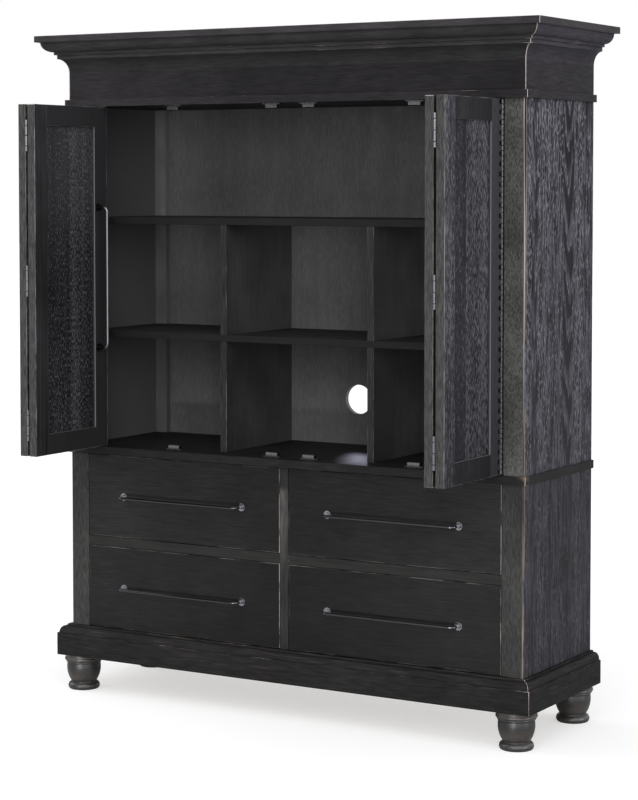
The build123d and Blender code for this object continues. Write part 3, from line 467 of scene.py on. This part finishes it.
def dress_leaf(side, leaf):
    """Frame and panel of one door leaf, which stands along Y when it is folded open."""
    low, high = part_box(f"{side}_{leaf}_door_frame")
    look = LEAF_LOOKS[leaf]
    centre = (low + high) / 2
    half = (high - low) / 2
    open_y = half.y - DOOR_FRAME_WIDTH
    open_z = half.z - DOOR_FRAME_WIDTH
    knuckle = (high.z - low.z) / PIANO_KNUCKLES
    foot_height = 0.45
    # Heights over which the stain of an inner panel turns lighter, and then even
    lighter = (1.36, 1.46)
    even = (1.38, 1.5)

    def recess_edges(add, place):
        """Distance to the arrises round the panel: the larger of those out of the opening and down it."""
        offset = add("VectorMath", place, tuple(centre), operation="SUBTRACT")
        x, y, z = add("SeparateXYZ", add("VectorMath", offset, operation="ABSOLUTE")).outputs
        across = add("Math", y, open_y, operation="SUBTRACT")
        along = add("Math", z, open_z, operation="SUBTRACT")
        down = add("Math", half.x, x, operation="SUBTRACT")
        return add("Math", add("Math", across, along, operation="MAXIMUM"), down, operation="MAXIMUM")

    def edges(add, place):
        """Distance to all arrises; those round the panel are sheltered, as if 0.5 mm further off."""
        recess = add("Math", recess_edges(add, place), 0.5 * MM, operation="ADD")
        ends = Vector((0.0, 1.5 * MM, 0.0))
        return least(add, [board_edges(low + ends, high - ends)(add, place), recess])

    def recess_wall(add, place):
        """Share of the upright walls of the recess: inside the thickness, at the sides of the opening."""
        x, y, _ = add("SeparateXYZ", place).outputs
        out = offset_from(add, x, centre.x)
        inside = add("MapRange", out, half.x - 0.4 * MM, half.x - 0.2 * MM, 1.0, 0.0)
        across = offset_from(add, y, centre.y)
        return product(add, inside, add("MapRange", across, open_y + 0.2 * MM, open_y + 0.4 * MM, 1.0, 0.0))

    def darker_foot(add, place, colour):
        """An outer leaf made darker towards its foot, up to a third darker."""
        z = add("SeparateXYZ", place).outputs[Z]
        level = add("MapRange", z, low.z, low.z + foot_height, look["foot"], 1.0)
        return add("MixRGB", 1.0, colour, level, blend_type="MULTIPLY")

    def painted_notch_shade(add, place, colour):
        """Painted shade: dark notches beside a piano hinge, one for every other knuckle."""
        _, y, z = add("SeparateXYZ", place).outputs
        count = add("Math", add("Math", z, low.z, operation="SUBTRACT"), 2 * knuckle, operation="DIVIDE")
        other = add("Math", add("Math", count, operation="FRACT"), 0.45, operation="LESS_THAN")
        rim = add("Math", y, high.y - 14 * MM, operation="GREATER_THAN")
        # Near-black notches stand in for the shade between the hinge knuckles
        return add("MixRGB", product(add, other, rim), colour, "#030303")

    def frame_tint(add, place, colour):
        """Smooth rails; smooth hinge stiles and pale recess walls, both painted light; paler upright end
        grain.
        """
        x, y, z = add("SeparateXYZ", place).outputs
        # Hinge stile in its own paler tone: painted light where the case shades it
        stile = add("MapRange", y, centre.y, centre.y + 0.5 * MM, 0.0, 0.85)
        colour = add("MixRGB", stile, colour, look["stile"])
        between = add("MapRange", offset_from(add, y, centre.y), open_y, open_y + 0.5 * MM, 0.85, 0.0)
        beyond = add("MapRange", offset_from(add, z, centre.z), open_z, open_z + 0.5 * MM)
        colour = add("MixRGB", product(add, between, beyond), colour, look["rail"])
        colour = darker_foot(add, place, colour)
        # Painted light and shade on the recess walls: pale at the outer arris, darker deeper in
        recess_light_and_shade = add("MapRange", offset_from(add, x, centre.x), half.x - 4 * MM, half.x - 3 * MM)
        colour = add("MixRGB", recess_wall(add, place), colour, add("MixRGB", recess_light_and_shade, "#48484b", "#88888c"))
        lines = fibres(add, place, Z, 3.2, 28, Detail=2.0, Roughness=0.7)
        end = add("MapRange", y, low.y + 0.6 * MM, low.y + 1.2 * MM, 1.0, 0.0)
        colour = add("MixRGB", end, colour, grained(add, lines, "#373737", "#585857"))
        top = product(add, end, add("MapRange", z, high.z - 2.6 * MM, high.z - 1.6 * MM))
        colour = add("MixRGB", top, colour, look["top"])
        return painted_notch_shade(add, place, colour) if leaf == "outer" else colour

    def panel_tint(add, place, colour):
        """Pale pores, short and fine, fewer towards the free end, where an outer panel has a plainer board.

        On an inner panel the stain is thin and even over the upper third and dark below it.
        """
        _, y, z = add("SeparateXYZ", place).outputs
        if leaf == "outer":
            joint = centre.y - 0.26 * open_y
            lean = add("MapRange", y, joint - MM, joint + MM, -0.1, 0.06)
        else:
            lean = add("MapRange", y, centre.y - open_y, centre.y + 0.3 * open_y, -0.08, 0.02)
        colour = pale_pores(add, place, Z, colour, "#85858b", *look["pores"], lean)
        if leaf == "inner":
            level = add("MapRange", z, *lighter, 0.85, 1.05)
            colour = add("MixRGB", 1.0, colour, level, blend_type="MULTIPLY")
            colour = add("MixRGB", add("MapRange", z, *even, 0.0, 0.4), colour, "#434344")
        return darker_foot(add, place, colour)

    # Smooth black oak frame with fine upright grain
    material = oak(f"black oak door frame, {side} {leaf} leaf", Z, *look["frame"], streak=(9, 300),
                   flecks=look["flecks"], tint=frame_tint, edge=edges,
                   rub=(1.5, 0.34, ("#4c4a49", "#908e8c")))
    dress(material, f"{side}_{leaf}_door_frame")
    # Wire-brushed panel: pale flecks where the open pores have lost their stain, gathered in upright bands
    material = oak(f"wire-brushed black oak panel, {side} {leaf} leaf", Z, *look["panel"],
                   streak=(30, 1500), contrast=look["contrast"], tint=panel_tint)
    dress(material, f"{side}_{leaf}_door_panel")


def dress_back():
    """Back panels and the posts in the corners of the upper one."""
    rear_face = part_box("upper_back")[1].y
    post_side = -SIDE_THICKNESS - POST_WIDTH
    # Where the painted light changes across the lower bays: from x, to x, and by what factor
    bay_steps = ((-0.28, -0.24, 1.75), (-0.22, 0.03, 0.5), (0.24, 0.28, 2.0), (0.28, 0.53, 0.5))

    def painted_light_level(add, place):
        """Painted light and shade, bay by bay: paler on the left of each bay and upwards."""
        x, _, z = add("SeparateXYZ", place).outputs
        # Painted light and shade across each bay and upwards
        bays = product(add, add("MapRange", x, LEFT_POST, -0.45, 1.4, 0.75),
                       add("MapRange", z, 1.18, 1.4, 0.86, 1.4))
        for start, stop, factor in bay_steps:
            bays = product(add, bays, add("MapRange", x, start, stop, 1.0, factor))
        top_bay = add("MapRange", x, LEFT_POST, -0.48, 1.75, 0.91)
        across = add("MixRGB", add("MapRange", z, *TOP_SHELF), bays, top_bay)
        height = product(add, add("MapRange", z, *TOP_SHELF, 1.0, 0.76),
                         add("MapRange", z, 1.5, 1.75, 1.0, 1.4))
        return product(add, height, across)

    def back_tint(add, place, colour):
        """Painted light and shade in front, raw wood in the cable hole, sealed black on the rear."""
        colour = add("MixRGB", 1.0, colour, painted_light_level(add, place), blend_type="MULTIPLY")
        off = add("VectorMath", place, (0.0, 0.0, CABLE_HOLE_HEIGHT), operation="SUBTRACT")
        flat = add("VectorMath", off, (1.0, 0.0, 1.0), operation="MULTIPLY")
        away = add("VectorMath", flat, operation="LENGTH").outputs["Value"]
        bore = add("MapRange", away, CABLE_HOLE_RADIUS + 0.2 * MM, CABLE_HOLE_RADIUS + 0.5 * MM, 1.0, 0.0)
        colour = add("MixRGB", bore, colour, "#9c9c9a")
        y = add("SeparateXYZ", place).outputs[Y]
        rear = add("MapRange", y, rear_face - 0.3 * MM, rear_face - 0.1 * MM)
        lines = fibres(add, place, Z, 9, 260, Detail=2.0)
        return add("MixRGB", rear, colour, grained(add, lines, "#242322", "#363432"))

    # Black stained veneer, matte, pale partly as painted light: soft upright mortling, a few pale pores
    back = oak("black stained back veneer", Z, "#5a5a5a", "#757575", streak=(26, 180), contrast=0.8,
               blotch=0.1, flecks=("#909090", 0.2, (4.5, 26), 0.66), tint=back_tint, sheen=0.1, rough=0.7)
    dress(back, "upper_back", "lower_back")

    def post_tint(add, place, colour):
        """Painted light: a flat grey on the side of a post that faces its bay, and both faces pale upwards.
        """
        beside = outwards(add, place)[1]
        # Painted light on the side facing the bay, and upwards
        facing = add("MapRange", beside, post_side + 0.1 * MM, post_side + 0.5 * MM, 1.0, 0.0)
        colour = add("MixRGB", facing, colour, "#808080")
        level = add("MapRange", add("SeparateXYZ", place).outputs[Z], 0.8, 1.75, 0.76, 1.35)
        return add("MixRGB", 1.0, colour, level, blend_type="MULTIPLY")

    # The same veneer on the posts, plainer, pale partly as painted light
    post = oak("black stained post veneer", Z, "#747473", "#8e8e8c", streak=(20, 200), contrast=0.36,
               blotch=0.18, tint=post_tint, sheen=0.1, rough=0.7)
    dress(post, "back_posts")


def dress_shelves():
    """Shelves, ceiling and dividers of the upper case."""
    def shelf_tint(add, place, colour):
        """Front edges of the shelves, stained deeper than their tops."""
        front = outwards(add, place)[0]
        edge = add("MapRange", front, -SHELF_SETBACK - 0.5 * MM, -SHELF_SETBACK - 0.2 * MM, 0.0, 0.8)
        return add("MixRGB", edge, colour, "#212121")

    # Black stained veneer, matte, with finer grain than the back
    shelf = oak("black stained shelf veneer", X, "#232323", "#343433", streak=(4, 150), tint=shelf_tint,
                sheen=0.12, rough=0.65)
    dress(shelf, "top_shelf", "middle_shelf", "ceiling_board")
    low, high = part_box("cubby_dividers")
    walls = (high.x, high.x - DIVIDER_THICKNESS)

    def front_edges(add, place):
        """Distance to the upright front arrises of the dividers."""
        x, y, _ = add("SeparateXYZ", place).outputs
        away = add("Math", x, operation="ABSOLUTE")
        across = least(add, [offset_from(add, away, wall) for wall in walls])
        return add("Math", across, add("Math", y, low.y, operation="SUBTRACT"), operation="MAXIMUM")

    def divider_tint(add, place, colour):
        """Oak lips in front; painted light: paler towards the back, upwards, and on the right-hand dividers.
        """
        x, y, z = add("SeparateXYZ", place).outputs
        # Painted light: paler towards the back, above the middle shelf and on the right, where shade falls
        right = add("MapRange", x, 0.2, 0.24, 1.0, 2.0)
        back = add("MapRange", y, low.y, high.y, 0.5, 1.6)
        upper = add("MapRange", z, *MIDDLE_SHELF, 0.7, 0.95)
        colour = add("MixRGB", 1.0, colour, product(add, right, back, upper), blend_type="MULTIPLY")
        lip = add("MapRange", y, low.y + 0.4 * MM, low.y + 0.9 * MM, 0.9, 0.0)
        lines = fibres(add, place, Z, 4, 60, Detail=2.0)
        return add("MixRGB", lip, colour, grained(add, lines, "#212120", "#3a3a38"))

    # Black stained veneer, matte, pale partly as painted light: nearly plain, its front arrises rubbed grey
    divider = oak("black stained divider veneer", Z, "#525252", "#636363", streak=(14, 160), contrast=0.4,
                  sheen=0.12, rough=0.65, tint=divider_tint, edge=front_edges,
                  rub=(2.0, 0.34, ("#3c3a38", "#7b7774")))
    dress(divider, "cubby_dividers")


def dress_hidden():
    """Plain wood that shows only from behind, from below or in an open drawer."""
    # Plain sanded hardwood: pale tan, faint straight grain
    beech = ("#a98660", "#c4a27a")
    hidden = oak("plain sanded beech", Y, *beech, streak=(3, 90), blotch=0.06, sheen=0.3, rough=0.6)
    dress(hidden, "corner_blocks", "plinth_back_rail", "drawer_partition", "drawer_runners",
          *[f"{level}_{side}_drawer_box" for level in LEVELS for side in SIDES])
    deck_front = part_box("base_deck")[0].y

    def stained_front(add, place, colour):
        """Front strip of the deck, stained with the case because the gaps under the drawers show it."""
        y = add("SeparateXYZ", place).outputs[Y]
        strip = add("MapRange", y, deck_front + 40 * MM, deck_front + 45 * MM, 1.0, 0.0)
        return add("MixRGB", strip, colour, "#232322")

    # The same hardwood, black along its front
    deck = oak("plain sanded beech, front stained black", X, *beech, streak=(3, 90), blotch=0.06,
               tint=stained_front, rough=0.6)
    dress(deck, "base_deck")


def dress_feet():
    """Turned feet."""
    def worn_turns(add, place, colour):
        """Painted shade on the upper bulb; brown rub in patches where feet knock, on low bulb and collar."""
        z = add("SeparateXYZ", place).outputs[Z]
        # Painted shade where the plinth overhangs the upper bulb
        painted_plinth_shade = product(add, add("MapRange", z, 44 * MM, 64 * MM),
                         add("MapRange", z, 80 * MM, 86 * MM, 0.8, 0.0))
        colour = add("MixRGB", painted_plinth_shade, colour, "#0c0b0b")
        bulb = product(add, add("MapRange", z, 22 * MM, 28 * MM),
                       add("MapRange", z, 34 * MM, 66 * MM, 0.6, 0.0))
        collar = add("MapRange", z, 84 * MM, 92 * MM, 0.0, 0.3)
        knocks = add("TexNoise", {"Vector": place, "Scale": 1 / (28 * MM), "Detail": 3.0})
        patches = add("MapRange", knocks, 0.35, 0.7)
        worn = product(add, add("Math", bulb, collar, operation="MAXIMUM"), patches)
        return add("MixRGB", worn, colour, "#54453b")

    # Satin lacquer over black stain: soft clear highlights round the turnings
    material = oak("turned black oak, satin lacquer", Z, "#1f1e1d", "#32302f", streak=(6, 60), blotch=0.3,
                   tint=worn_turns, sheen=0.9, rough=0.36, relief=0.04)
    dress(material, "bun_feet")


def metal(name, tone, rough, seams=None, ends=None):
    """Plated metal with a fine satin grain that varies its gloss, dark at its seams.

    The seams are 0.4 mm wide and are drawn at 2 mm, so that they show from across a room. ends gives where
    another tone takes over, and that tone.
    """
    material, add, place = new_finish(name)
    satin = add("TexNoise", {"Vector": place, "Scale": 1 / (2 * MM), "Detail": 3.0})
    gloss = add("MapRange", satin, 0.3, 0.7, rough - 0.05, rough + 0.05)
    colour = tone
    if ends:
        axis, start, stop, other = ends
        away = add("Math", add("SeparateXYZ", place).outputs[axis], operation="ABSOLUTE")
        colour = add("MixRGB", add("MapRange", away, start, stop), colour, other)
    if seams:
        seam = add("MapRange", seams(add, place), 0.7 * MM, 1.3 * MM, 1.0, 0.0)
        colour = add("MixRGB", seam, colour, "#121212")
    shader = add("BsdfPrincipled", {"Base Color": colour, "Metallic": 1.0, "Roughness": gloss})
    add("OutputMaterial", shader)
    return material


def dress_metal():
    """Pulls, hinges, catches and bolts."""
    hinge_low, hinge_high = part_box("piano_hinge_case_leaves")
    middle = (hinge_low.z + hinge_high.z) / 2
    knuckle = (hinge_high.z - hinge_low.z) / PIANO_KNUCKLES

    def piano_seams(add, place):
        """Distance to the joint between two knuckles: the height folds to and fro once a knuckle."""
        height = add("Math", add("SeparateXYZ", place).outputs[Z], hinge_low.z, operation="SUBTRACT")
        return add("Math", height, knuckle / 2, operation="PINGPONG")

    def butt_seams(add, place):
        """Distance to the joints of the nearest butt hinge: at its middle and a third of its length off."""
        z = add("SeparateXYZ", place).outputs[Z]
        off = least(add, [offset_from(add, z, middle + step * BUTT_HINGE_SPACING) for step in (-1, 0, 1)])
        return add("Math", off, offset_from(add, off, BUTT_HINGE_JOINT), operation="MINIMUM")

    # Dark pewter plating, satin: near black in front of a dim room
    bar_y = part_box("lower_left_drawer_pull")[0].y
    # Painted shade on the bar and painted glints on its bent ends, by their two tones
    pewter = metal("dark pewter plating", "#a4a4a8", 0.18,
                   ends=(Y, -bar_y - 12 * MM, -bar_y - 8 * MM, "#5c5c5f"))
    dress(pewter, *[f"{level}_{side}_drawer_pull" for level in LEVELS for side in SIDES])
    # The upright door pulls: the bar is paler than its ends
    bar_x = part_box("right_inner_door_pull")[0].x
    door_pull_pewter = metal("pewter plating of the upright pulls", "#a2a2a7", 0.36,
                     ends=(X, bar_x + 7 * MM, bar_x + 18 * MM, "#454548"))
    dress(door_pull_pewter, *[f"{side}_inner_door_pull" for side in SIDES])
    # Nickel plated steel: warm grey with clear reflections, dark where two knuckles meet
    dress(metal("nickel plated piano hinge", "#676563", 0.28, piano_seams), "piano_hinge_case_leaves",
          *[f"{side}_outer_door_piano_hinge_leaf" for side in SIDES])
    dress(metal("nickel plated butt hinge", "#8a878c", 0.28, butt_seams),
          *[f"{side}_{leaf}_door_fittings" for side in SIDES for leaf in LEAVES])
    # The same plating without seams on the catches
    dress(metal("dull nickel catch", "#8c8c8e", 0.25), "magnetic_catches")
    # Zinc plated steel: cool pale grey
    dress(metal("zinc plated steel", "#c3c6c9", 0.35), "foot_bolts")


def studio_world():
    """White background for camera and transmission rays, even light, and in gloss a room dim in front."""
    ambient_strength = 0.55
    bright_side = (0.95, 0.3, 0.0)
    white = "#ffffff"
    world = bpy.data.worlds.new("studio")
    bpy.context.scene.world = world
    world.use_nodes = True
    add = node_adder(world.node_tree)
    rays = add("LightPath")
    ambient = add("Background", {"Color": white, "Strength": ambient_strength})
    # Gloss shows the white background behind and the bright right side, and a dim room in front
    towards = add("VectorMath", add("TexCoord").outputs["Generated"], bright_side, operation="DOT_PRODUCT")
    level = add("MapRange", towards.outputs["Value"], -0.4, 0.5, 0.15, 1.0)
    room = add("Background", {"Color": white, "Strength": level})
    lit = add("MixShader", rays.outputs["Is Glossy Ray"], ambient, room)
    shown = add("Math", rays.outputs["Is Camera Ray"], rays.outputs["Is Transmission Ray"],
                operation="MAXIMUM")
    backdrop = add("Background", {"Color": white, "Strength": 1.0})
    add("OutputWorld", add("MixShader", shown, lit, backdrop))


def studio_floor():
    """Pale floor that keeps the shadow; a glow that only the camera sees lifts it to near white."""
    reach = 40.0
    grey = 0.6
    glow_strength = 0.54
    floor_mesh = bpy.data.meshes.new("studio floor")
    corners = [(-reach, -reach, 0), (reach, -reach, 0), (reach, reach, 0), (-reach, reach, 0)]
    floor_mesh.from_pydata(corners, [], [(0, 1, 2, 3)])
    floor = bpy.data.objects.new("studio_floor", floor_mesh)
    bpy.context.scene.collection.objects.link(floor)
    material, add, _ = new_finish("pale studio floor")
    seen = add("LightPath").outputs["Is Camera Ray"]
    matte = add("BsdfDiffuse", {"Color": (grey, grey, grey, 1.0)})
    glow = add("Emission", {"Color": "#ffffff", "Strength": product(add, seen, glow_strength)})
    add("OutputMaterial", add("AddShader", matte, glow))
    floor_mesh.materials.append(material)


def lamp(name, kind, source, energy, colour, **settings):
    """A lamp turned to shine from the direction of a source towards the cabinet."""
    light = bpy.data.lights.new(name, kind)
    light.energy = energy
    light.color = linear(colour)[:3]
    for key, value in settings.items():
        setattr(light, key, value)
    holder = bpy.data.objects.new(name, light)
    bpy.context.scene.collection.objects.link(holder)
    holder.rotation_euler = Vector(source).to_track_quat("Z", "Y").to_euler()
    return holder


def studio_lamps():
    """Three soft lamps, light thrown up by the floor, and daylight behind the cable hole."""
    # Name, direction of the source, strength in units of pi, colour, and width of the source in degrees
    suns = (
        ("right key", (0.95, 0.0, 0.2), 0.25, "#f4f4ff", 18),
        ("front fill", (0.3, -0.9, 0.32), 0.65, "#ffffff", 90),
        ("left bounce", (-0.8, -0.1, 0.5), 0.27, "#ffffff", 50),
    )
    for name, source, strength, colour, width in suns:
        lamp(name, "SUN", source, strength * math.pi, colour, angle=math.radians(width))
    # Light thrown up by the pale floor in front, which sets a soft shadow above each drawer pull
    bounce = lamp("floor bounce", "AREA", (0.1, -1.0, -0.105), 2.2, "#ffffff", shape="RECTANGLE", size=2.0,
                  size_y=0.2, spread=math.radians(20))
    bounce.location = (0.25, -2.6, 0.11)
    bounce.visible_camera = False
    # Daylight from behind falls through the cable hole onto the floor of the middle cubby
    hole = Vector((0.0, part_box("upper_back")[1].y, CABLE_HOLE_HEIGHT))
    beam = Vector((-0.18, 0.323, 0.137)).normalized()
    distance = 0.5
    daylight = lamp("daylight behind", "SPOT", beam, 17.5, "#dcdaf2", spot_size=math.radians(13),
                    spot_blend=0.3, shadow_soft_size=0.12)
    daylight.location = hole + beam * distance


def photo_camera():
    """Camera fitted to the straight edges of the cabinet in the photograph."""
    place = (3.3502, -5.5141, 1.5391)
    turned = math.radians(30.6599)
    tilted_down = math.radians(2.9780)
    lens = bpy.data.cameras.new("photo camera")
    lens.sensor_width = 36.0
    lens.lens = 100.926
    lens.shift_y = -0.125
    camera = bpy.data.objects.new("photo_camera", lens)
    turn = Matrix.Rotation(turned, 4, "Z")
    tilt = Matrix.Rotation(math.pi / 2 - tilted_down, 4, "X")
    camera.matrix_world = Matrix.Translation(place) @ turn @ tilt
    bpy.context.scene.collection.objects.link(camera)
    bpy.context.scene.camera = camera


dress_sides()
dress_face_frame()
dress_drawer_fronts()
dress_mouldings()
for side in SIDES:
    for leaf in LEAVES:
        dress_leaf(side, leaf)
dress_back()
dress_shelves()
dress_hidden()
dress_feet()
dress_metal()
studio_world()
studio_floor()
studio_lamps()
photo_camera()
bpy.context.scene.view_settings.view_transform = "Standard"
